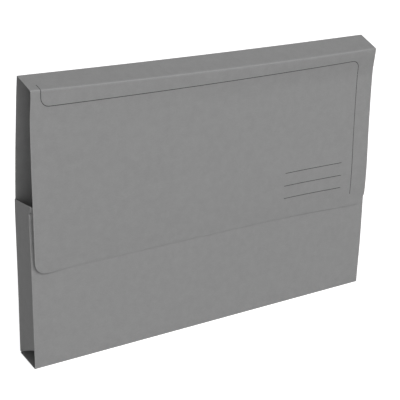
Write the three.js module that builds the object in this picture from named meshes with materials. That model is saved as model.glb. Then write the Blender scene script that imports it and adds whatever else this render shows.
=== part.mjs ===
// A pocket file folder: one creased blank of card, folded and glued into a wallet for loose papers.
// Millimetres, +Z up, X across the width, the front towards -Y, standing on its bottom gusset.
import * as THREE from "three";

// Card, folds and glue
const cardThickness = 0.5;
const foldInnerRadius = 0.5;
const foldRadius = foldInnerRadius + cardThickness;
const foldSegments = 5;
const glueThickness = 0.15;

// Folder
const folderWidth = 350;
const baseDepth = 30;
const levelStep = 10;

// Back panel: leans back up to its bend, then forward to the spine
const spineHeight = 246.4;
const spineDepth = 22.5;
const bendHeight = 146;
const bendDepth = 3.6;
const bendLength = 50;

// Pocket and its side gussets
const pocketHeight = 137.5;
const gussetTopAtBack = 140;
const gussetTopAtFront = 144.5;
const gussetFootAtBack = 1.6;
const gussetFootAtFront = 17.2;

// Glue tabs, and the glue between them and the pocket
const tabWidth = 18;
const tabTipWidth = 3;
const tabSlant = 12;
const glueWidth = 10;
const glueInset = 4;
const glueStart = 30;
const glueEnd = 130;

// Top gusset and flap
const beadRadius = 0.6;
const beadSegments = 16;
const hingeGap = 0.3;
const flapFoldHeight = 238.4;
const flapGap = 0.5;
const flapSideInset = 0.5;
const flapBottomHeight = 86;
const flapCornerRadius = 10;
const cornerSegments = 10;

// Places worked out from the sizes above, with depth counted from the pocket's outer face at the base
const flapDepth = -(flapGap + cardThickness / 2);
const topRun = Math.hypot(spineDepth - flapDepth, spineHeight - flapFoldHeight);
const topSlope = Math.asin((spineHeight - flapFoldHeight) / topRun);
const seatDistance = Math.sqrt(beadRadius ** 2 - (cardThickness / 2) ** 2);
const hingeStart = beadRadius + hingeGap;
const panelHalfWidth = folderWidth / 2 - foldRadius;

// Depth of the back panel's outer face at a height: two straight stretches and a soft bend
function backDepth(z) {
  const topDepth = spineDepth + cardThickness / 2;
  const lowerSlope = bendDepth / bendHeight;
  const upperSlope = (topDepth - baseDepth - bendDepth) / (spineHeight - bendHeight);
  const into = THREE.MathUtils.clamp(z - bendHeight + bendLength / 2, 0, bendLength);
  const past = Math.max(z - bendHeight - bendLength / 2, 0);
  const turned = into ** 2 / (2 * bendLength) + past;
  return baseDepth + lowerSlope * z + (upperSlope - lowerSlope) * turned;
}

// How far the side gussets, all of one width, draw the pocket back at a height
function drawnBack(z) {
  return backDepth(z) - baseDepth;
}

// Depth of the glue tabs' outer face at a height
function tabDepth(z) {
  return drawnBack(z) + cardThickness + glueThickness;
}

// Heights from one end to the other, shared by pieces that lie against each other
function levels(from, to) {
  const heights = [from];
  for (let z = (Math.floor(from / levelStep) + 1) * levelStep; z < to; z += levelStep) heights.push(z);
  return [...heights, to];
}

const cardColour = 0x8b8b8b;
const card = () => new THREE.MeshStandardMaterial({ color: cardColour, roughness: 0.85, metalness: 0 });
const glue = () => new THREE.MeshStandardMaterial({ color: 0xd8d2c0, roughness: 0.4, metalness: 0 });

function named(name, geometry, material) {
  const mesh = new THREE.Mesh(geometry, material);
  mesh.name = name;
  return mesh;
}

// A closed solid through rings of [x, y] points, one ring for each height
function loft(heights, ringAt) {
  const rings = heights.map((z) => ringAt(z).map(([x, y]) => new THREE.Vector3(x, y, z)));
  const size = rings[0].length;
  const index = [];
  for (let level = 0; level < rings.length - 1; level++) {
    for (let i = 0; i < size; i++) {
      const a = level * size + i;
      const b = level * size + ((i + 1) % size);
      index.push(a, b, b + size, a, b + size, a + size);
    }
  }
  const outline = rings[0].map((p) => new THREE.Vector2(p.x, p.y));
  const last = (rings.length - 1) * size;
  for (const [a, b, c] of THREE.ShapeUtils.triangulateShape(outline, [])) {
    index.push(c, b, a, last + a, last + b, last + c);
  }
  const geometry = new THREE.BufferGeometry().setFromPoints(rings.flat());
  geometry.setIndex(index);
  geometry.computeVertexNormals();
  return geometry;
}

// A shape drawn in depth and height, run across the folder
function alongX(shape, width) {
  const geometry = new THREE.ExtrudeGeometry(shape, { depth: width, bevelEnabled: false, curveSegments: 1 });
  const turn = new THREE.Matrix4().makeBasis(
    new THREE.Vector3(0, 1, 0),
    new THREE.Vector3(0, 0, 1),
    new THREE.Vector3(1, 0, 0),
  );
  return geometry.applyMatrix4(turn).translate(-width / 2, 0, 0);
}

// A quarter round of card: its section between two directions round the fold's centre
function quarterRound(centreX, centreY, fromAngle, toAngle) {
  const ring = [];
  const step = (toAngle - fromAngle) / foldSegments;
  for (let i = 0; i <= foldSegments; i++) {
    const angle = fromAngle + i * step;
    ring.push([centreX + foldRadius * Math.cos(angle), centreY + foldRadius * Math.sin(angle)]);
  }
  for (let i = foldSegments; i >= 0; i--) {
    const angle = fromAngle + i * step;
    ring.push([centreX + foldInnerRadius * Math.cos(angle), centreY + foldInnerRadius * Math.sin(angle)]);
  }
  return ring;
}

// A plate of card between two x positions, ordered anticlockwise, with its outer face at a depth
function plateRing(x0, x1, depth, thickness) {
  return [
    [x0, depth],
    [x1, depth],
    [x1, depth + thickness],
    [x0, depth + thickness],
  ];
}

function backPanel() {
  const heights = levels(foldRadius, spineHeight - seatDistance);
  const ring = (z) => plateRing(-panelHalfWidth, panelHalfWidth, backDepth(z) - cardThickness, cardThickness);
  return named("back_panel", loft(heights, ring), card());
}

function pocketFront() {
  const heights = levels(foldRadius, pocketHeight);
  const ring = (z) => plateRing(-folderWidth / 2, folderWidth / 2, drawnBack(z), cardThickness);
  return named("pocket_front", loft(heights, ring), card());
}

function bottomGusset() {
  const depth = baseDepth - 2 * foldRadius;
  const mesh = named("bottom_gusset", new THREE.BoxGeometry(folderWidth, depth, cardThickness), card());
  mesh.position.set(0, baseDepth / 2, cardThickness / 2);
  return mesh;
}

// The folds along the front and the back of the base
function bottomCrease(name, centreY, fromAngle) {
  const ring = quarterRound(centreY, foldRadius, fromAngle, fromAngle + Math.PI / 2);
  const shape = new THREE.Shape(ring.map(([y, z]) => new THREE.Vector2(y, z)));
  return named(name, alongX(shape, folderWidth), card());
}

// A side gusset's outline: up its back edge, along its slanted top, down its front edge
function gussetGeometry() {
  const backEdge = levels(gussetFootAtBack, gussetTopAtBack).map((z) => [backDepth(z) - foldRadius, z]);
  const frontEdge = levels(gussetFootAtFront, gussetTopAtFront).map((z) => [tabDepth(z) + foldRadius, z]);
  const outline = [...backEdge, ...frontEdge.reverse()];
  const shape = new THREE.Shape(outline.map(([y, z]) => new THREE.Vector2(y, z)));
  return alongX(shape, cardThickness).translate((folderWidth - cardThickness) / 2, 0, 0);
}

// The upright fold between the back panel and a side gusset
function sideBackCreaseGeometry() {
  const heights = levels(gussetFootAtBack, gussetTopAtBack);
  return loft(heights, (z) => quarterRound(panelHalfWidth, backDepth(z) - foldRadius, 0, Math.PI / 2));
}

// The upright fold between a side gusset and its glue tab
function sideFrontCreaseGeometry() {
  const heights = levels(gussetFootAtFront, gussetTopAtFront);
  return loft(heights, (z) => quarterRound(panelHalfWidth, tabDepth(z) + foldRadius, -Math.PI / 2, 0));
}

// A glue tab, folded in behind the pocket, with both its ends cut at a slant
function glueTabGeometry() {
  const widthAt = (z) => {
    const fromEnd = Math.min(z - gussetFootAtFront, gussetTopAtFront - z);
    return THREE.MathUtils.mapLinear(Math.min(fromEnd, tabSlant), 0, tabSlant, tabTipWidth, tabWidth);
  };
  const middle = levels(gussetFootAtFront + tabSlant, gussetTopAtFront - tabSlant);
  const heights = [gussetFootAtFront, ...middle, gussetTopAtFront];
  return loft(heights, (z) => plateRing(panelHalfWidth - widthAt(z), panelHalfWidth, tabDepth(z), cardThickness));
}

function glueLineGeometry() {
  const outer = panelHalfWidth - glueInset;
  const depth = (z) => drawnBack(z) + cardThickness;
  return loft(levels(glueStart, glueEnd), (z) => plateRing(outer - glueWidth, outer, depth(z), glueThickness));
}

// One end of the folder: gusset, folds, tab and glue; the left end mirrors the right one
function pocketEnd(side, mirror) {
  const end = new THREE.Group();
  end.add(named(`${side}_side_gusset`, gussetGeometry(), card()));
  end.add(named(`${side}_back_crease`, sideBackCreaseGeometry(), card()));
  end.add(named(`${side}_front_crease`, sideFrontCreaseGeometry(), card()));
  end.add(named(`${side}_glue_tab`, glueTabGeometry(), card()));
  end.add(named(`${side}_glue_line`, glueLineGeometry(), glue()));
  end.scale.x = mirror;
  return end;
}

// A creased fold that turns: a round bead along its own axis, cut flat where its panel seats
function hingeCrease(name, seatAngle) {
  const halfSeat = Math.asin(cardThickness / 2 / beadRadius);
  const step = (2 * Math.PI - 2 * halfSeat) / beadSegments;
  const points = [];
  for (let i = 0; i <= beadSegments; i++) {
    const angle = seatAngle + halfSeat + i * step;
    points.push(new THREE.Vector2(beadRadius * Math.cos(angle), beadRadius * Math.sin(angle)));
  }
  return named(name, alongX(new THREE.Shape(points), folderWidth), card());
}

// The strip from the spine to the flap, drawn level and turned to its slope by its group
function topGusset() {
  const length = topRun - hingeStart - seatDistance;
  const mesh = named("top_gusset", new THREE.BoxGeometry(folderWidth, length, cardThickness), card());
  mesh.position.y = -(hingeStart + length / 2);
  return mesh;
}

// The flap hangs from its fold, with its two lower corners rounded
function flap() {
  const half = folderWidth / 2 - flapSideInset;
  const bottom = flapBottomHeight - flapFoldHeight;
  const shape = new THREE.Shape();
  shape.moveTo(-half, -hingeStart);
  shape.lineTo(-half, bottom + flapCornerRadius);
  shape.absarc(-half + flapCornerRadius, bottom + flapCornerRadius, flapCornerRadius, Math.PI, Math.PI * 1.5);
  shape.absarc(half - flapCornerRadius, bottom + flapCornerRadius, flapCornerRadius, Math.PI * 1.5, Math.PI * 2);
  shape.lineTo(half, -hingeStart);
  const geometry = new THREE.ExtrudeGeometry(shape, {
    depth: cardThickness,
    bevelEnabled: false,
    curveSegments: cornerSegments,
  });
  geometry.rotateX(Math.PI / 2).translate(0, cardThickness / 2, 0);
  return named("flap", geometry, card());
}

function flapAssembly() {
  const group = new THREE.Group();
  group.add(flap());
  group.position.y = -topRun;
  group.rotation.x = -topSlope;
  return group;
}

function topAssembly() {
  const group = new THREE.Group();
  const flapCrease = hingeCrease("flap_crease", 0);
  flapCrease.position.y = -topRun;
  group.add(topGusset(), flapCrease, flapAssembly());
  group.position.set(0, spineDepth, spineHeight);
  group.rotation.x = topSlope;
  return group;
}

function spineCrease() {
  const mesh = hingeCrease("spine_crease", -Math.PI / 2);
  mesh.position.set(0, spineDepth, spineHeight);
  return mesh;
}

// The origin is the middle of the space that the closed folder takes up, at the height it stands on
function depthOfMiddle() {
  const foremost = flapDepth - beadRadius;
  const rearmost = Math.max(...levels(foldRadius, spineHeight).map(backDepth));
  return (foremost + rearmost) / 2;
}

const folder = new THREE.Group();
folder.add(
  backPanel(),
  pocketFront(),
  bottomGusset(),
  bottomCrease("front_bottom_crease", foldRadius, Math.PI),
  bottomCrease("back_bottom_crease", baseDepth - foldRadius, Math.PI * 1.5),
  pocketEnd("right", 1),
  pocketEnd("left", -1),
  spineCrease(),
  topAssembly(),
);
folder.position.y = -depthOfMiddle();

const root = new THREE.Group();
root.add(folder);

export default root;
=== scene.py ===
import math

import bmesh
import bpy
from mathutils import Matrix, Quaternion, Vector


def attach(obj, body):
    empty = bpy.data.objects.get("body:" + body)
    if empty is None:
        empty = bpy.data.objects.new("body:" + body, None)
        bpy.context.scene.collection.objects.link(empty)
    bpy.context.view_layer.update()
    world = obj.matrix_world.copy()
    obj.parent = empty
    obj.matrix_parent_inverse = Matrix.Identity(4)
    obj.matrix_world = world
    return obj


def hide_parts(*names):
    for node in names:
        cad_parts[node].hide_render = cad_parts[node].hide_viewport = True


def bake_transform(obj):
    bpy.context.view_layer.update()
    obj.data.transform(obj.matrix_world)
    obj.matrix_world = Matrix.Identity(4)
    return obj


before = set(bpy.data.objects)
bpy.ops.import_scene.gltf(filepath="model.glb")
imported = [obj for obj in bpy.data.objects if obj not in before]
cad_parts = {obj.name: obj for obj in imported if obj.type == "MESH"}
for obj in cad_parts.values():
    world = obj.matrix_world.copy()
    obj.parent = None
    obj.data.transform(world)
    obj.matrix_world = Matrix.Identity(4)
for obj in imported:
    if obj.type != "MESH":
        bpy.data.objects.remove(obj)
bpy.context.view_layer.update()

# The camera of the photograph: a long lens, in front of the folder and to its left, a little above it,
# and rolled by two degrees. Its place came from the folder's corners in the picture.
camera_place = Vector((-0.50210, -0.75569, 0.46094))
camera_line = Vector((0.52759, 0.77716, -0.34304))
camera_roll = math.radians(2.049)
camera = bpy.data.objects.new("camera", bpy.data.cameras.new("camera"))
bpy.context.scene.collection.objects.link(camera)
camera.data.sensor_width = 36.0
camera.data.lens = 97.822
camera.data.shift_x = -0.04
camera.data.shift_y = -0.04
camera.data.clip_start = 0.01
camera.data.clip_end = 50.0
facing = camera_line.to_track_quat("-Z", "Y") @ Quaternion((0.0, 0.0, 1.0), camera_roll)
camera.matrix_world = Matrix.Translation(camera_place) @ facing.to_matrix().to_4x4()
bpy.context.scene.camera = camera

# The wrap: pocket front, base and back panel are one run of grey pressed card, half a millimetre
# thick. It is scored and folded twice along the base, and its back bows out a little at mid height.
card_thickness = 0.0005
fold_radius = 0.00075
wallet_width = 0.350
half_width = wallet_width / 2
back_panel_width = 0.348
front_depth = -0.015624
back_depth = 0.013876
base_level = card_thickness / 2
pocket_height = 0.1375
spine_height = 0.24692
spine_depth = 0.006626
crease_reach = 0.0009
bow_height = 0.146
bow_depth = 0.0036
bow_length = 0.050
side_crease_top = 0.140
grid_step = 0.007


def clamp(value, low=0.0, high=1.0):
    return max(low, min(high, value))


def ease(value):
    value = clamp(value)
    return value * value * (3 - 2 * value)


def ramp(value, start, length):
    # runs smoothly from 0 at the start to 1 at the end of the length
    return ease((value - start) / length)


def drawn_back(z):
    # how far the back panel, and the pocket with it, lies behind its place at the base
    lower = bow_depth / bow_height
    upper = (spine_depth - back_depth - bow_depth) / (spine_height - bow_height)
    into = clamp(z - bow_height + bow_length / 2, 0.0, bow_length)
    past = max(z - bow_height - bow_length / 2, 0.0)
    return lower * z + (upper - lower) * (into**2 / (2 * bow_length) + past)


# how far the card gives in each place, and the spans over which it does, each a start and a length
strip_depth = 0.0232
base_front = -0.0159
base_depth = 0.030
top_span = (0.100, 0.140)
fold_sag = 0.0011
flap_fold_sag = 0.0008
flap_fold_lift = 0.0016
spine_drop = 0.0003
corner_lift = 0.0012
corner_lift_span = (0.0, 0.060)
corner_spread = 0.0012
corner_spread_span = (0.0, 0.075)
pocket_bulge = 0.0007
bulge_height = 0.160
flap_fold_taper = 0.0059
flap_fold_taper_span = (0.212, 0.022)
base_taper = 0.0050
base_taper_span = (0.0, 0.050)


def settle(point):
    # card never stands dead true: both top folds sag a little, the flap fold drops towards its right
    # end and is drawn in by a millimetre, like the base's right end, and the base's left back corner
    # lifts and spreads
    x, y, z = point
    right = clamp((x + half_width) / wallet_width)
    middle = 1 - (x / half_width) ** 2
    high = ramp(z, *top_span)
    front = clamp((spine_depth - y) / strip_depth)
    foot = (1 - right) * clamp((y - base_front) / base_depth)
    sag = middle * (fold_sag + flap_fold_sag * front)
    twist = (flap_fold_lift * front - spine_drop) * (1 - right)
    lift = corner_lift * foot * (1 - ramp(z, *corner_lift_span))
    spread = corner_spread * foot * (1 - ramp(z, *corner_spread_span))
    bulge = pocket_bulge * right * front * math.sin(math.pi * clamp(z / bulge_height))
    drawn_in = flap_fold_taper * front * ramp(z, *flap_fold_taper_span)
    drawn_in += base_taper * right**4 * (1 - ramp(z, *base_taper_span))
    return Vector((x * (1 - drawn_in), y - bulge + spread, z + high * (twist - sag) + lift))


push_by_flap = 0.0008
push_by_flap_span = (0.094, 0.012)
push_at_mouth = 0.0007
push_at_mouth_span = (0.118, 0.020)
push_across_span = (0.1705, 0.0045)


def pressed_fold(x, y, z):
    # the left front fold has been pushed back beside the flap, most of all at the pocket's mouth
    ahead = clamp((back_depth - y) / (back_depth - front_depth))
    push = push_by_flap * ramp(z, *push_by_flap_span) + push_at_mouth * ramp(z, *push_at_mouth_span)
    return push * ahead**2 * ramp(-x, *push_across_span)


def divide(bm, step):
    # splits every long edge evenly, one length of edge after another
    same_length = 2e-5
    lengths = sorted({round(e.calc_length(), 5) for e in bm.edges}, reverse=True)
    for length in [n for n in lengths if n > 1.5 * step]:
        edges = [e for e in bm.edges if abs(e.calc_length() - length) < same_length]
        bmesh.ops.subdivide_edges(bm, edges=edges, cuts=round(length / step) - 1, use_grid_fill=True)


def slice_sheet(bm, axis, places):
    normal = Vector([float(i == axis) for i in range(3)])
    for place in places:
        bmesh.ops.bisect_plane(
            bm,
            geom=bm.verts[:] + bm.edges[:] + bm.faces[:],
            dist=1e-7,
            plane_co=normal * place,
            plane_no=normal,
        )


def points_of(geometry):
    return [g for g in geometry if isinstance(g, bmesh.types.BMVert)]


def edges_of(geometry):
    return [g for g in geometry if isinstance(g, bmesh.types.BMEdge)]


def mark(bm, edge_distance, fold_distance):
    # the distance of each point from the nearest cut edge and from the nearest fold
    edge = bm.verts.layers.float.new("edge_distance")
    fold = bm.verts.layers.float.new("fold_distance")
    for v in bm.verts:
        v[edge] = max(edge_distance(v.co), 0.0)
        v[fold] = max(fold_distance(v.co), 0.0)


edge_press = 0.15
on_edge = 1e-6
sharp_angle = 0.7


def sheet_piece(name, bm, outward, thickness, materials, pressed=False):
    # a thin piece from its middle surface, with the last material on its cut edges; the die presses
    # the outer side of a cut edge in a little
    bmesh.ops.recalc_face_normals(bm, faces=bm.faces)
    first = max(bm.faces, key=lambda f: f.calc_area())
    if first.normal.dot(outward(first.calc_center_median())) < 0:
        bmesh.ops.reverse_faces(bm, faces=bm.faces)
    mesh = bpy.data.meshes.new(name)
    bm.to_mesh(mesh)
    bm.free()
    piece = bpy.data.objects.new(name, mesh)
    bpy.context.scene.collection.objects.link(piece)
    for material in materials:
        mesh.materials.append(material)
    shell = piece.modifiers.new("thickness", "SOLIDIFY")
    shell.thickness = thickness
    shell.offset = 0.0
    shell.use_even_offset = True
    shell.material_offset_rim = len(materials) - 1
    depsgraph = bpy.context.evaluated_depsgraph_get()
    solid = bpy.data.meshes.new_from_object(piece.evaluated_get(depsgraph))
    piece.modifiers.clear()
    piece.data = solid
    solid.name = name
    shade = bmesh.new()
    shade.from_mesh(solid)
    edge = shade.verts.layers.float.get("edge_distance")
    for e in shade.edges if pressed else []:
        near, far = sorted(e.verts, key=lambda v: v.co.dot(outward(v.co)))
        if abs(e.calc_length() - thickness) < thickness / 5 and max(near[edge], far[edge]) < on_edge:
            far.co = far.co.lerp(near.co, edge_press)
    for f in shade.faces:
        f.smooth = True
    for e in shade.edges:
        e.smooth = not (len(e.link_faces) == 2 and e.calc_face_angle() > sharp_angle)
    shade.to_mesh(solid)
    shade.free()
    return piece


def shader_node(material, kind, **values):
    # a new node, its own settings by name and its inputs by their labels
    node = material.node_tree.nodes.new(kind)
    for key, value in values.items():
        if hasattr(node, key):
            setattr(node, key, value)
        else:
            node.inputs[key.replace("_", " ").title()].default_value = value
    return node


def dyed_card():
    # grey card dyed through: cloudy formation, short fibres, a satin skin, pale where edges are rubbed, and
    # pale along the folds, partly from stretched fibres and partly as a painted highlight
    material = bpy.data.materials.new("dyed_card")
    material.use_nodes = True
    link = material.node_tree.links.new
    shader = material.node_tree.nodes["Principled BSDF"]
    shader.inputs["Specular IOR Level"].default_value = 0.35
    place = shader_node(material, "ShaderNodeTexCoord")
    cloud = shader_node(material, "ShaderNodeTexNoise", scale=150.0, detail=4.0, roughness=0.55)
    link(place.outputs["Object"], cloud.inputs["Vector"])
    cloud_tone = shader_node(material, "ShaderNodeValToRGB")
    cloud_tone.color_ramp.elements[0].position = 0.30
    cloud_tone.color_ramp.elements[0].color = (0.249, 0.249, 0.249, 1)
    cloud_tone.color_ramp.elements[1].position = 0.70
    cloud_tone.color_ramp.elements[1].color = (0.271, 0.271, 0.271, 1)
    link(cloud.outputs["Fac"], cloud_tone.inputs["Fac"])
    run = shader_node(material, "ShaderNodeMapping")
    run.inputs["Scale"].default_value = (0.3, 1.0, 1.0)
    link(place.outputs["Object"], run.inputs["Vector"])
    fibre = shader_node(material, "ShaderNodeTexNoise", scale=2200.0, detail=3.0, roughness=0.6)
    link(run.outputs["Vector"], fibre.inputs["Vector"])
    fibre_tone = shader_node(material, "ShaderNodeMapRange")
    fibre_tone.inputs["From Min"].default_value = 0.3
    fibre_tone.inputs["From Max"].default_value = 0.7
    fibre_tone.inputs["To Min"].default_value = 0.955
    fibre_tone.inputs["To Max"].default_value = 1.045
    link(fibre.outputs["Fac"], fibre_tone.inputs["Value"])
    formed = shader_node(material, "ShaderNodeVectorMath", operation="SCALE")
    link(cloud_tone.outputs["Color"], formed.inputs[0])
    link(fibre_tone.outputs["Result"], formed.inputs["Scale"])
    fold = shader_node(material, "ShaderNodeAttribute", attribute_name="fold_distance")
    # pale band along each fold: partly stretched fibres, partly a painted highlight along the fold ridge
    fold_pallor_and_highlight = shader_node(material, "ShaderNodeMapRange", interpolation_type="SMOOTHSTEP")
    fold_pallor_and_highlight.inputs["From Min"].default_value = 0.0002
    fold_pallor_and_highlight.inputs["From Max"].default_value = 0.0016
    fold_pallor_and_highlight.inputs["To Min"].default_value = 0.65
    fold_pallor_and_highlight.inputs["To Max"].default_value = 0.0
    link(fold.outputs["Fac"], fold_pallor_and_highlight.inputs["Value"])
    edge = shader_node(material, "ShaderNodeAttribute", attribute_name="edge_distance")
    edge_rub = shader_node(material, "ShaderNodeMapRange", interpolation_type="SMOOTHSTEP")
    edge_rub.inputs["From Min"].default_value = 0.0
    edge_rub.inputs["From Max"].default_value = 0.0009
    edge_rub.inputs["To Min"].default_value = 0.45
    edge_rub.inputs["To Max"].default_value = 0.0
    link(edge.outputs["Fac"], edge_rub.inputs["Value"])
    # edge wear and the fold band together; the fold part is partly a painted highlight
    rub_and_fold_highlight = shader_node(material, "ShaderNodeMath", operation="MAXIMUM")
    link(fold_pallor_and_highlight.outputs["Result"], rub_and_fold_highlight.inputs[0])
    link(edge_rub.outputs["Result"], rub_and_fold_highlight.inputs[1])
    broken = shader_node(material, "ShaderNodeTexNoise", scale=700.0, detail=2.0, roughness=0.5)
    link(place.outputs["Object"], broken.inputs["Vector"])
    patchy = shader_node(material, "ShaderNodeMapRange")
    patchy.inputs["From Min"].default_value = 0.35
    patchy.inputs["From Max"].default_value = 0.60
    patchy.inputs["To Min"].default_value = 0.55
    patchy.inputs["To Max"].default_value = 1.0
    link(broken.outputs["Fac"], patchy.inputs["Value"])
    wear_and_fold_highlight = shader_node(material, "ShaderNodeMath", operation="MULTIPLY")
    link(rub_and_fold_highlight.outputs["Value"], wear_and_fold_highlight.inputs[0])
    link(patchy.outputs["Result"], wear_and_fold_highlight.inputs[1])
    # the colours of a mix node are its inputs 6 and 7 and its output 2
    tone = shader_node(material, "ShaderNodeMix", data_type="RGBA")
    # the pale tone for rubbed edges and for the folds, where it is partly a painted highlight
    tone.inputs[7].default_value = (0.32, 0.32, 0.32, 1)
    link(wear_and_fold_highlight.outputs["Value"], tone.inputs["Factor"])
    link(formed.outputs["Vector"], tone.inputs[6])
    link(tone.outputs[2], shader.inputs["Base Color"])
    rough = shader_node(material, "ShaderNodeMapRange")
    rough.inputs["To Min"].default_value = 0.54
    rough.inputs["To Max"].default_value = 0.72
    link(cloud.outputs["Fac"], rough.inputs["Value"])
    link(rough.outputs["Result"], shader.inputs["Roughness"])
    skin = shader_node(material, "ShaderNodeBump")
    skin.inputs["Strength"].default_value = 0.35
    skin.inputs["Distance"].default_value = 0.00006
    link(fibre.outputs["Fac"], skin.inputs["Height"])
    link(skin.outputs["Normal"], shader.inputs["Normal"])
    return material


def cut_edge():
    # the rim that the die leaves: paler and rougher than the skin, in thin pressed layers
    material = bpy.data.materials.new("cut_edge")
    material.use_nodes = True
    link = material.node_tree.links.new
    shader = material.node_tree.nodes["Principled BSDF"]
    shader.inputs["Specular IOR Level"].default_value = 0.2
    shader.inputs["Roughness"].default_value = 0.88
    place = shader_node(material, "ShaderNodeTexCoord")
    layers = shader_node(material, "ShaderNodeTexNoise", scale=5200.0, detail=3.0, roughness=0.65)
    link(place.outputs["Object"], layers.inputs["Vector"])
    tone = shader_node(material, "ShaderNodeValToRGB")
    tone.color_ramp.elements[0].position = 0.30
    tone.color_ramp.elements[0].color = (0.34, 0.34, 0.34, 1)
    tone.color_ramp.elements[1].position = 0.72
    tone.color_ramp.elements[1].color = (0.48, 0.48, 0.48, 1)
    link(layers.outputs["Fac"], tone.inputs["Fac"])
    link(tone.outputs["Color"], shader.inputs["Base Color"])
    torn = shader_node(material, "ShaderNodeBump")
    torn.inputs["Strength"].default_value = 0.6
    torn.inputs["Distance"].default_value = 0.00005
    link(layers.outputs["Fac"], torn.inputs["Height"])
    link(torn.outputs["Normal"], shader.inputs["Normal"])
    return material


card, cut = dyed_card(), cut_edge()

bm = bmesh.new()
run = [
    (front_depth, pocket_height),
    (front_depth, base_level),
    (back_depth, base_level),
    (back_depth, spine_height - crease_reach),
]
line = [bm.verts.new((-half_width, y, z)) for y, z in run]
edges = [bm.edges.new(pair) for pair in zip(line, line[1:])]
swept = bmesh.ops.extrude_edge_only(bm, edges=edges)["geom"]
bmesh.ops.translate(bm, verts=points_of(swept), vec=(wallet_width, 0, 0))
bmesh.ops.bevel(
    bm,
    geom=[e for e in bm.edges if len(e.link_faces) == 2],
    offset=fold_radius,
    segments=6,
    profile=0.5,
    affect="EDGES",
    material=-1,
)
divide(bm, grid_step)
side_rows = (-0.1705, -0.1660, 0.1660, 0.1705)
slice_sheet(bm, 0, side_rows)

fold_inset = 0.0003
side_crease_foot = 0.002
away_from_edge = 0.005
# far enough from any fold or edge that no pale band shows: no edge wear and no painted fold highlight
beyond_wear_and_highlight = 1.0
back_curl = 0.0006
curl_across_span = (0.165, 0.009)
curl_start_span = (0.160, 0.030)
curl_end_span = (0.232, 0.014)
base_cut_back = 0.003
corner_stand_off = 0.0007
corner_up_span = (0.129, 0.0085)
corner_across_span = (0.145, 0.030)


def wrap_edge_distance(p):
    # beside the side gussets the back panel's sides are folds, not cut edges
    inset = half_width - abs(p.x)
    if p.y > back_depth - fold_radius / 2 and p.z < side_crease_top:
        return away_from_edge
    return min(inset, pocket_height - p.z) if p.y < front_depth + fold_radius / 2 else inset


def wrap_fold_distance(p):
    corner = min((Vector((y, base_level)) - Vector(p.yz)).length for y in (front_depth, back_depth))
    side = half_width - abs(p.x) if p.y > 0 and side_crease_foot < p.z < side_crease_top else beyond_wear_and_highlight
    spine = spine_height - p.z if p.y > 0 else beyond_wear_and_highlight
    return min(corner - fold_inset, side, spine)


mark(bm, wrap_edge_distance, wrap_fold_distance)
for v in bm.verts:
    x, y, z = v.co
    if y > back_depth - fold_radius / 2 and z > base_level + fold_radius / 2:
        # the back panel is 2 mm narrower, and its sides curl back where no gusset holds them
        x *= back_panel_width / wallet_width
        curl = back_curl * ramp(abs(x), *curl_across_span) * ramp(z, *curl_start_span)
        y += curl * (1 - ramp(z, *curl_end_span))
    elif y > front_depth + fold_radius / 2:
        # the ends of the base are cut back towards the rear
        x *= 1 - base_cut_back * clamp((y - front_depth) / (back_depth - front_depth))
    if y < front_depth + fold_radius / 2:
        # the pocket's top right corner stands a little clear of the glued tab
        y -= corner_stand_off * ramp(z, *corner_up_span) * ramp(x, *corner_across_span)
    v.co = settle((x, y + drawn_back(z) + pressed_fold(x, y, z), z))
wrap = sheet_piece("wallet_wrap", bm, lambda p: Vector((0, p.y, 0)), card_thickness, [card, cut])
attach(wrap, "folder")
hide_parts("pocket_front", "front_bottom_crease", "bottom_gusset", "back_bottom_crease", "back_panel")

# The two side gussets: strips of the same card, folded forward from the back panel and then inward
# behind the pocket front, where the last fold is the glue tab. Top and foot are cut on a slant. Above
# the pocket's mouth nothing holds the last fold, and it springs forward there.
gusset_top_back = 0.1415
gusset_top_front = 0.1445
gusset_top_hollow = 0.0008
gusset_bow = 0.0010
gusset_spring = 0.0026
spring_span = (0.0008, 0.0014)
gusset_foot_back = 0.0016
gusset_foot_front = 0.0172
tab_slant = 0.012
tab_width = 0.018
glue_thickness = 0.00015
tab_depth = front_depth + card_thickness + glue_thickness
side_half = half_width - card_thickness / 2
gusset_depth = back_depth - tab_depth
gusset_rows = 13
mouth_share = 0.95
mouth_rows = (0.945, 0.951, 0.9545, 0.958, 0.9615, 0.966)
front_fold_relief = 0.0016
unit_edge = 0.9


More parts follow.
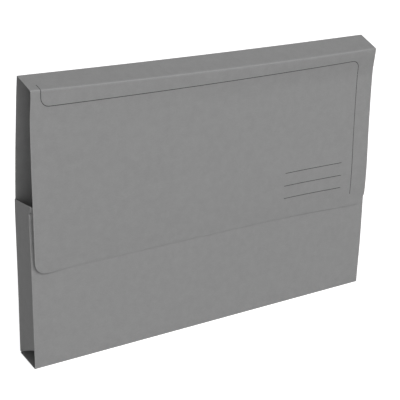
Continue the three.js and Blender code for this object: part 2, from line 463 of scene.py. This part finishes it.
def gusset(name, side, nodes):
    # a standing edge is swung round each fold and drawn along each panel, from the back to the tab;
    # the strip is one unit high until its points get their real heights
    bm = bmesh.new()
    lower = bm.verts.new((-(side_half - fold_radius), back_depth, 0))
    upper = bm.verts.new((-(side_half - fold_radius), back_depth, 1))
    edge = [bm.edges.new((lower, upper))]

    def swing(edge, centre):
        swung = bmesh.ops.spin(
            bm, geom=edge, cent=centre, axis=(0, 0, 1), angle=math.pi / 2, steps=6, use_duplicate=False
        )
        return edges_of(swung["geom_last"])

    def draw(edge, way, pieces):
        for _ in range(pieces):
            drawn = bmesh.ops.extrude_edge_only(bm, edges=edge)["geom"]
            points = points_of(drawn)
            bmesh.ops.translate(bm, verts=points, vec=way / pieces)
            edge = [e for e in edges_of(drawn) if set(e.verts) <= set(points)]
        return edge

    edge = swing(edge, (-(side_half - fold_radius), back_depth - fold_radius, 0))
    edge = draw(edge, Vector((0, -(gusset_depth - 2 * fold_radius), 0)), pieces=6)
    edge = swing(edge, (-(side_half - fold_radius), tab_depth + fold_radius, 0))
    draw(edge, Vector((tab_width - fold_radius - card_thickness / 2, 0, 0)), pieces=4)
    bmesh.ops.remove_doubles(bm, verts=bm.verts, dist=1e-6)
    standing = [e for e in bm.edges if e.calc_length() > unit_edge]
    bmesh.ops.subdivide_edges(bm, edges=standing, cuts=gusset_rows, use_grid_fill=True)
    slice_sheet(bm, 2, mouth_rows)

    def ends(p):
        forward = clamp((back_depth - p.y) / gusset_depth)
        inward = clamp((p.x + side_half) / tab_width) if p.y < tab_depth + fold_radius else 0.0
        foot = gusset_foot_back + (gusset_foot_front - gusset_foot_back) * forward + tab_slant * inward
        top = gusset_top_back + (gusset_top_front - gusset_top_back) * forward - tab_slant * inward
        return foot, top - gusset_top_hollow * 4 * forward * (1 - forward)

    def edge_distance(p):
        foot, top = ends(p)
        tip = tab_width - (p.x + side_half) if p.y < tab_depth + fold_radius else beyond_wear_and_highlight
        return min((top - foot) * min(p.z, 1 - p.z), tip)

    def fold_distance(p):
        back_corner = (Vector((-side_half, back_depth)) - Vector(p.xy)).length - fold_inset
        front_corner = (Vector((-side_half, tab_depth)) - Vector(p.xy)).length + front_fold_relief
        return min(back_corner, front_corner if p.z < mouth_share else beyond_wear_and_highlight)

    mark(bm, edge_distance, fold_distance)
    for v in bm.verts:
        foot, top = ends(v.co)
        z = foot + (top - foot) * v.co.z
        forward = clamp((back_depth - v.co.y) / gusset_depth)
        bowed = gusset_bow * 4 * forward * (1 - forward) if v.co.y > tab_depth + fold_radius else 0.0
        sprung = gusset_spring * forward**3 * ramp(z - pocket_height, *spring_span)
        x, y = side * -(v.co.x + bowed), v.co.y
        v.co = settle((x, y + drawn_back(z) + pressed_fold(x, y, z) - sprung, z))
    piece = sheet_piece(name, bm, lambda p: Vector((p.x, 0, 0)), card_thickness, [card, cut])
    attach(piece, "folder")
    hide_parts(*nodes)


for word, side in (("left", -1), ("right", 1)):
    gusset(
        f"{word}_gusset",
        side,
        [f"{word}_back_crease", f"{word}_side_gusset", f"{word}_front_crease", f"{word}_glue_tab"],
    )

# The glue: one thin line of white paper glue on each tab, dried to a cream film and out of sight
# between the tab and the pocket front. Its two solids are shown as they are.
glue = bpy.data.materials.new("dried_glue")
glue.use_nodes = True
glue_shader = glue.node_tree.nodes["Principled BSDF"]
glue_shader.inputs["Roughness"].default_value = 0.42
glue_place = shader_node(glue, "ShaderNodeTexCoord")
glue_film = shader_node(glue, "ShaderNodeTexNoise", scale=420.0, detail=3.0, roughness=0.5)
glue.node_tree.links.new(glue_place.outputs["Object"], glue_film.inputs["Vector"])
glue_tone = shader_node(glue, "ShaderNodeValToRGB")
glue_tone.color_ramp.elements[0].color = (0.56, 0.51, 0.40, 1)
glue_tone.color_ramp.elements[1].color = (0.74, 0.71, 0.62, 1)
glue.node_tree.links.new(glue_film.outputs["Fac"], glue_tone.inputs["Fac"])
glue.node_tree.links.new(glue_tone.outputs["Color"], glue_shader.inputs["Base Color"])
glue_ripple = shader_node(glue, "ShaderNodeBump")
glue_ripple.inputs["Strength"].default_value = 0.4
glue_ripple.inputs["Distance"].default_value = 0.0001
glue.node_tree.links.new(glue_film.outputs["Fac"], glue_ripple.inputs["Height"])
glue.node_tree.links.new(glue_ripple.outputs["Normal"], glue_shader.inputs["Normal"])
for name in ("left_glue_line", "right_glue_line"):
    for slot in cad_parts[name].material_slots:
        slot.material = glue

# The top strip closes the top between the spine fold and the flap fold. It is the same card, a
# little narrower than the pocket, and slopes down towards the front.
flap_fold_depth = -0.016624
flap_fold_height = 0.2384
flap_width = 0.3488
spine = Vector((0, spine_depth, spine_height))
flap_fold = Vector((0, flap_fold_depth, flap_fold_height))
strip_line = (flap_fold - spine).normalized()
slope_step = 0.001
spine_rise = (drawn_back(spine_height) - drawn_back(spine_height - slope_step)) / slope_step
back_line = Vector((0, spine_rise, 1)).normalized()
flap_line = Vector((0, 0, -1))
strip_step = 0.005
columns = 35


def bend_radius(angle):
    return crease_reach / math.tan(angle / 2)


half_spine_arc = bend_radius(back_line.angle(strip_line)) * back_line.angle(strip_line) / 2
half_flap_arc = bend_radius(strip_line.angle(flap_line)) * strip_line.angle(flap_line) / 2


def top_width(y):
    # from the back panel's width at the spine to the flap's width at its fold
    share = clamp((spine_depth - y) / (spine_depth - flap_fold_depth))
    return back_panel_width + (flap_width - back_panel_width) * share


def cut_columns(bm):
    # the sheets here start one unit wide, and get their real width once they are divided
    wide = [e for e in bm.edges if e.calc_length() > unit_edge]
    bmesh.ops.subdivide_edges(bm, edges=wide, cuts=columns - 1, use_grid_fill=True)


bm = bmesh.new()
start, end = spine + strip_line * crease_reach, flap_fold - strip_line * crease_reach
line = [bm.verts.new(p - Vector((0.5, 0, 0))) for p in (start, end)]
swept = bmesh.ops.extrude_edge_only(bm, edges=[bm.edges.new(line)])["geom"]
bmesh.ops.translate(bm, verts=points_of(swept), vec=(1, 0, 0))
cut_columns(bm)
divide(bm, strip_step)
mark(
    bm,
    lambda p: (0.5 - abs(p.x)) * top_width(p.y),
    lambda p: min((p.yz - start.yz).length + half_spine_arc, (p.yz - end.yz).length + half_flap_arc),
)
for v in bm.verts:
    v.co = settle((v.co.x * top_width(v.co.y), v.co.y, v.co.z))
top_strip = sheet_piece("top_strip_card", bm, lambda p: Vector((0, 0, 1)), card_thickness, [card, cut], True)
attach(top_strip, "top_strip")
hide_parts("top_gusset")

# The two folds that open and close: narrow bands of the card along a score, bent to a small round.
# Each is a little paler along the fold, partly where the fibres are stretched and partly as a painted
# highlight.
# sets the pale band, partly a painted highlight, narrower and fainter on these two folds
fold_cover = 0.0008
near_enough = 1e-5


def fold_band(name, corner, line_in, line_out, node, half_arc):
    angle = line_in.angle(line_out)
    radius = bend_radius(angle)
    begin, finish = corner - line_in * crease_reach, corner + line_out * crease_reach
    inward = line_in.cross(Vector((-1, 0, 0))).normalized()
    if inward.dot(line_out) < 0:
        inward.negate()
    centre = begin + inward * radius
    bm = bmesh.new()
    edge = bm.edges.new([bm.verts.new(begin + Vector((x, 0, 0))) for x in (-0.5, 0.5)])
    missed = Matrix.Rotation(angle, 3, "X") @ (begin - centre) + centre - finish
    turn = 1 if missed.length < near_enough else -1
    bmesh.ops.spin(
        bm, geom=[edge], cent=centre, axis=(turn, 0, 0), angle=angle, steps=8, use_duplicate=False
    )
    bmesh.ops.remove_doubles(bm, verts=bm.verts, dist=1e-7)
    cut_columns(bm)
    mark(
        bm,
        lambda p: (0.5 - abs(p.x)) * top_width(p.y),
        lambda p: abs((p - centre - Vector((p.x, 0, 0))).angle(begin - centre) / angle - 0.5) * 2 * half_arc
        + fold_cover,
    )
    for v in bm.verts:
        v.co = settle((v.co.x * top_width(v.co.y), v.co.y, v.co.z))
    band = sheet_piece(
        name, bm, lambda p: Vector((0, p.y - centre.y, p.z - centre.z)), card_thickness, [card, cut], True
    )
    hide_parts(node)
    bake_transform(band)


fold_band(
    "spine_fold_band",
    spine,
    back_line,
    strip_line,
    "spine_crease",
    half_spine_arc,
)
fold_band(
    "flap_fold_band",
    flap_fold,
    strip_line,
    flap_line,
    "flap_crease",
    half_flap_arc,
)

# The flap hangs from its fold over the front of the pocket. Its two lower corners are rounded, and
# its lower edge leans on the pocket, apart from the left corner, which curls away. Its right side
# is pressed back a little below the fold and flares out again at the fold itself.
flap_top = flap_fold_height - crease_reach
flap_bottom = 0.086
corner_radius = 0.0118
flap_lean = 0.00256
left_curl = 0.75
left_curl_width = 0.040
right_slack = 0.10
right_slack_span = (0.060, 0.060)
flap_press = 0.0030
press_start_span = (0.118, 0.108)
press_end_span = (0.212, 0.026)
flap_bow = 0.0007
bow_start_span = (0.086, 0.020)
bow_end_span = (0.112, 0.044)
edge_rise = 0.00085
edge_tilt = 0.0006
edge_arch = 0.0015
edge_drop = 0.00165
edge_drop_span = (0.085, 0.090)
edge_reach = 0.120
left_corner_shift = 0.0014
right_corner_shift = 0.0005


def hang(point):
    # the flap's own lean and lift, on top of what the whole folder does
    x, y, z = point
    curled = left_curl * (1 - clamp((x + half_width) / left_curl_width)) ** 2
    held = 1 - curled - right_slack * ramp(x, *right_slack_span)
    lean = flap_lean * held * clamp((flap_fold_height - z) / (flap_fold_height - flap_bottom))
    right = clamp((x + half_width) / wallet_width)
    pressed = flap_press * ramp(z, *press_start_span) * (1 - ramp(z, *press_end_span))
    bowed = flap_bow * ramp(z, *bow_start_span) * (1 - ramp(z, *bow_end_span))
    across = x / half_width
    raised = edge_rise + edge_tilt * across - edge_arch * across**2 - edge_drop * ramp(x, *edge_drop_span)
    low = 1 - ramp(z, flap_bottom, edge_reach)
    sideways = (left_corner_shift * clamp(-across) + right_corner_shift * clamp(across)) * low
    return settle(point) + Vector((sideways, lean + right * (pressed - bowed), raised * low))


bm = bmesh.new()
half = flap_width / 2
rim = [(-half, flap_top), (-half, flap_bottom), (half, flap_bottom), (half, flap_top)]
bm.faces.new([bm.verts.new((x, flap_fold_depth, z)) for x, z in rim])
bmesh.ops.bevel(
    bm,
    geom=[v for v in bm.verts if v.co.z < flap_top / 2],
    offset=corner_radius,
    segments=10,
    profile=0.5,
    affect="VERTICES",
    material=-1,
)
rim_rings = (0.0012, 0.0008)
for ring in rim_rings:
    middle = [f for f in bm.faces if not any(v.is_boundary for v in f.verts)] or bm.faces
    bmesh.ops.inset_region(bm, faces=middle, thickness=ring, use_even_offset=True, use_boundary=True)
lower_step = 0.009
upper_step = 0.0042
step_counts = range(1, 12)
slice_sheet(bm, 0, [-half + flap_width * i / columns for i in range(1, columns)])
slice_sheet(bm, 2, [flap_bottom + lower_step * i for i in step_counts])
slice_sheet(bm, 2, [flap_top - upper_step * i for i in step_counts])


def flap_edge_distance(p):
    inset, rise = half - abs(p.x), p.z - flap_bottom
    if inset < corner_radius and rise < corner_radius:
        return corner_radius - math.hypot(corner_radius - inset, corner_radius - rise)
    return min(inset, rise)


mark(bm, flap_edge_distance, lambda p: flap_top - p.z + half_flap_arc)
for v in bm.verts:
    v.co = hang(v.co)
flap = sheet_piece("flap_card", bm, lambda p: Vector((0, -1, 0)), card_thickness, [card, cut], True)
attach(flap, "flap")
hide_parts("flap")

# The printed rules: black ink, half a millimetre wide. One starts on the top strip, crosses the flap
# fold and frames the flap's top and right side. Three short ones are there to write on.
rule_width = 0.00056
ink_thickness = 0.00005
rule_left = -0.1660
rule_start = 0.0078
rule_radius = 0.0075
rule_turn = (rule_left + rule_radius, 0.2250)
rule_far_turn = (0.1481, 0.2290)
rule_end = (0.1555, 0.0986)
writing_rules = [
    ((0.0766, 0.1308), (0.1424, 0.1318)),
    ((0.0757, 0.1183), (0.1428, 0.1193)),
    ((0.0764, 0.1059), (0.1430, 0.1069)),
]


def black_ink():
    # ink that sank into the card: a soft black, thin enough for a few fibres to show through
    material = bpy.data.materials.new("black_ink")
    material.use_nodes = True
    link = material.node_tree.links.new
    shader = material.node_tree.nodes["Principled BSDF"]
    shader.inputs["Specular IOR Level"].default_value = 0.3
    shader.inputs["Roughness"].default_value = 0.62
    place = shader_node(material, "ShaderNodeTexCoord")
    fibres = shader_node(material, "ShaderNodeTexNoise", scale=3500.0, detail=3.0, roughness=0.6)
    link(place.outputs["Object"], fibres.inputs["Vector"])
    tone = shader_node(material, "ShaderNodeValToRGB")
    tone.color_ramp.elements[0].position = 0.45
    tone.color_ramp.elements[0].color = (0.022, 0.022, 0.022, 1)
    tone.color_ramp.elements[1].position = 0.80
    tone.color_ramp.elements[1].color = (0.12, 0.12, 0.12, 1)
    link(fibres.outputs["Fac"], tone.inputs["Fac"])
    link(tone.outputs["Color"], shader.inputs["Base Color"])
    return material


ink = black_ink()


def rule_piece(name, segments, place, body=None):
    # a nib as wide as the rule is drawn from point to point, and the strip is laid on the card
    bm = bmesh.new()
    for points in segments:
        edge = None
        for i, (a, b) in enumerate(points):
            before = points[max(i - 1, 0)]
            after = points[min(i + 1, len(points) - 1)]
            along = Vector((after[0] - before[0], after[1] - before[1])).normalized()
            across = Vector((-along.y, along.x)) * rule_width / 2
            if edge is None:
                ends = [bm.verts.new((a + s * across.x, 0, b + s * across.y)) for s in (-1, 1)]
                edge = bm.edges.new(ends)
            else:
                drawn = bmesh.ops.extrude_edge_only(bm, edges=[edge])["geom"]
                tips = points_of(drawn)
                low = next(v for v in tips if any(e.other_vert(v) == ends[0] for e in v.link_edges))
                high = next(v for v in tips if v is not low)
                low.co = (a - across.x, 0, b - across.y)
                high.co = (a + across.x, 0, b + across.y)
                ends = [low, high]
                edge = bm.edges.get(ends)
    for v in bm.verts:
        v.co = place(v.co.x, v.co.z)
    piece = sheet_piece(name, bm, lambda p: Vector((0, -1, 1)), ink_thickness, [ink])
    if body:
        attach(piece, body)
    return piece


def steps(a, b, spacing=0.006):
    count = max(1, round(math.dist(a, b) / spacing))
    return [(a[0] + (b[0] - a[0]) * i / count, a[1] + (b[1] - a[1]) * i / count) for i in range(count + 1)]


def round_turn(centre, radius, start_angle, end_angle, count=10):
    angles = [start_angle + (end_angle - start_angle) * i / count for i in range(count + 1)]
    return [(centre[0] + radius * math.cos(a), centre[1] + radius * math.sin(a)) for a in angles]


def on_flap(x, z):
    return hang((x, flap_fold_depth - card_thickness / 2, z))


near = round_turn((rule_turn[0], rule_turn[1] + rule_radius), rule_radius, math.pi, 1.5 * math.pi)
far = round_turn((rule_far_turn[0], rule_far_turn[1] - rule_radius), rule_radius, math.pi / 2, 0.0)
frame_rule = steps((rule_left, flap_top), near[0])[:-1] + near[:-1] + steps(near[-1], far[0])[:-1] + far[:-1]
frame_rule += steps(far[-1], rule_end)
rule_piece("frame_rule", [frame_rule], on_flap, "flap")
rule_piece("writing_rules", [steps(a, b) for a, b in writing_rules], on_flap, "flap")


def on_top_strip(x, along):
    # `along` runs from the flap fold towards the spine
    lift = strip_line.cross(Vector((1, 0, 0))).normalized() * card_thickness / 2
    if lift.z < 0:
        lift.negate()
    return settle(Vector((x, 0, 0)) + flap_fold - strip_line * along + lift)


start_spacing = 0.004
start_line = steps((rule_left, rule_start), (rule_left, crease_reach), start_spacing)
rule_piece("frame_rule_start", [start_line], on_top_strip, "top_strip")

fold_angle = strip_line.angle(flap_line)
fold_bend = bend_radius(fold_angle)
bend_start = flap_fold - strip_line * crease_reach
bend_centre = Vector((0, flap_fold.y + fold_bend, flap_fold.z - crease_reach))
whole_turn = 0.01
turn_spacing = 0.00125


def over_fold(x, turned):
    # the rule's way round the fold, on the outside of the card
    arm = Matrix.Rotation(fold_angle * turned / whole_turn, 3, "X") @ (bend_start - bend_centre)
    arm = arm.normalized() * (fold_bend + card_thickness / 2)
    return settle(Vector((x, 0, 0)) + bend_centre + arm)


turn_line = steps((rule_left, 0.0), (rule_left, whole_turn), turn_spacing)
rule_over_fold = rule_piece("frame_rule_over_fold", [turn_line], over_fold)
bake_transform(rule_over_fold)

# The studio: a plain white floor that runs out of sight, a large soft lamp high in front, weaker ones
# to the left, low in front and behind, and an even pale sky. The floor looks white and keeps the shadow.
floor_mesh = bpy.data.meshes.new("floor")
bm = bmesh.new()
floor_radius = 8.0
bmesh.ops.create_circle(bm, cap_ends=True, segments=96, radius=floor_radius)
bm.to_mesh(floor_mesh)
bm.free()
floor = bpy.data.objects.new("floor", floor_mesh)
bpy.context.scene.collection.objects.link(floor)
floor_paint = bpy.data.materials.new("floor_paint")
floor_paint.use_nodes = True
floor_shader = floor_paint.node_tree.nodes["Principled BSDF"]
floor_shader.inputs["Base Color"].default_value = (0.55, 0.55, 0.55, 1)
floor_shader.inputs["Roughness"].default_value = 0.9
floor_shader.inputs["Specular IOR Level"].default_value = 0.1
seen = shader_node(floor_paint, "ShaderNodeLightPath")
glow = shader_node(floor_paint, "ShaderNodeEmission")
both = shader_node(floor_paint, "ShaderNodeAddShader")
level = shader_node(floor_paint, "ShaderNodeMath", operation="MULTIPLY")
floor_glow = 0.88
level.inputs[1].default_value = floor_glow
floor_link = floor_paint.node_tree.links.new
floor_link(seen.outputs["Is Camera Ray"], level.inputs[0])
floor_link(level.outputs["Value"], glow.inputs["Strength"])
floor_link(floor_shader.outputs["BSDF"], both.inputs[0])
floor_link(glow.outputs["Emission"], both.inputs[1])
floor_link(both.outputs["Shader"], floor_paint.node_tree.nodes["Material Output"].inputs["Surface"])
floor_mesh.materials.append(floor_paint)

sky = bpy.data.worlds.new("sky")
bpy.context.scene.world = sky
sky.use_nodes = True
sky_nodes, sky_link = sky.node_tree.nodes, sky.node_tree.links.new
sky_light = sky_nodes["Background"]
sky_light.inputs["Color"].default_value = (1, 1, 1, 1)
sky_light.inputs["Strength"].default_value = 0.168
sky_seen = sky_nodes.new("ShaderNodeBackground")
sky_seen.inputs["Color"].default_value = (1, 1, 1, 1)
sky_path = sky_nodes.new("ShaderNodeLightPath")
sky_mix = sky_nodes.new("ShaderNodeMixShader")
sky_link(sky_path.outputs["Is Camera Ray"], sky_mix.inputs["Fac"])
sky_link(sky_light.outputs["Background"], sky_mix.inputs[1])
sky_link(sky_seen.outputs["Background"], sky_mix.inputs[2])
sky_link(sky_mix.outputs["Shader"], sky_nodes["World Output"].inputs["Surface"])

folder_middle = Vector((0.0, 0.0, 0.12))
lamp_size = 5.0


def soft_lamp(name, place, watts):
    lamp = bpy.data.objects.new(name, bpy.data.lights.new(name, "AREA"))
    lamp.data.size = lamp_size
    lamp.data.energy = watts
    bpy.context.scene.collection.objects.link(lamp)
    lamp.location = place
    lamp.rotation_euler = (folder_middle - Vector(place)).to_track_quat("-Z", "Y").to_euler()


soft_lamp("key", (1.61, -5.62, 5.58), 454.0)
soft_lamp("fill", (-5.51, -4.62, 3.63), 114.0)
soft_lamp("front", (-2.72, -7.48, 0.96), 119.0)
soft_lamp("back", (0.00, 7.52, 2.86), 100.0)

bpy.context.scene.view_settings.view_transform = "Standard"
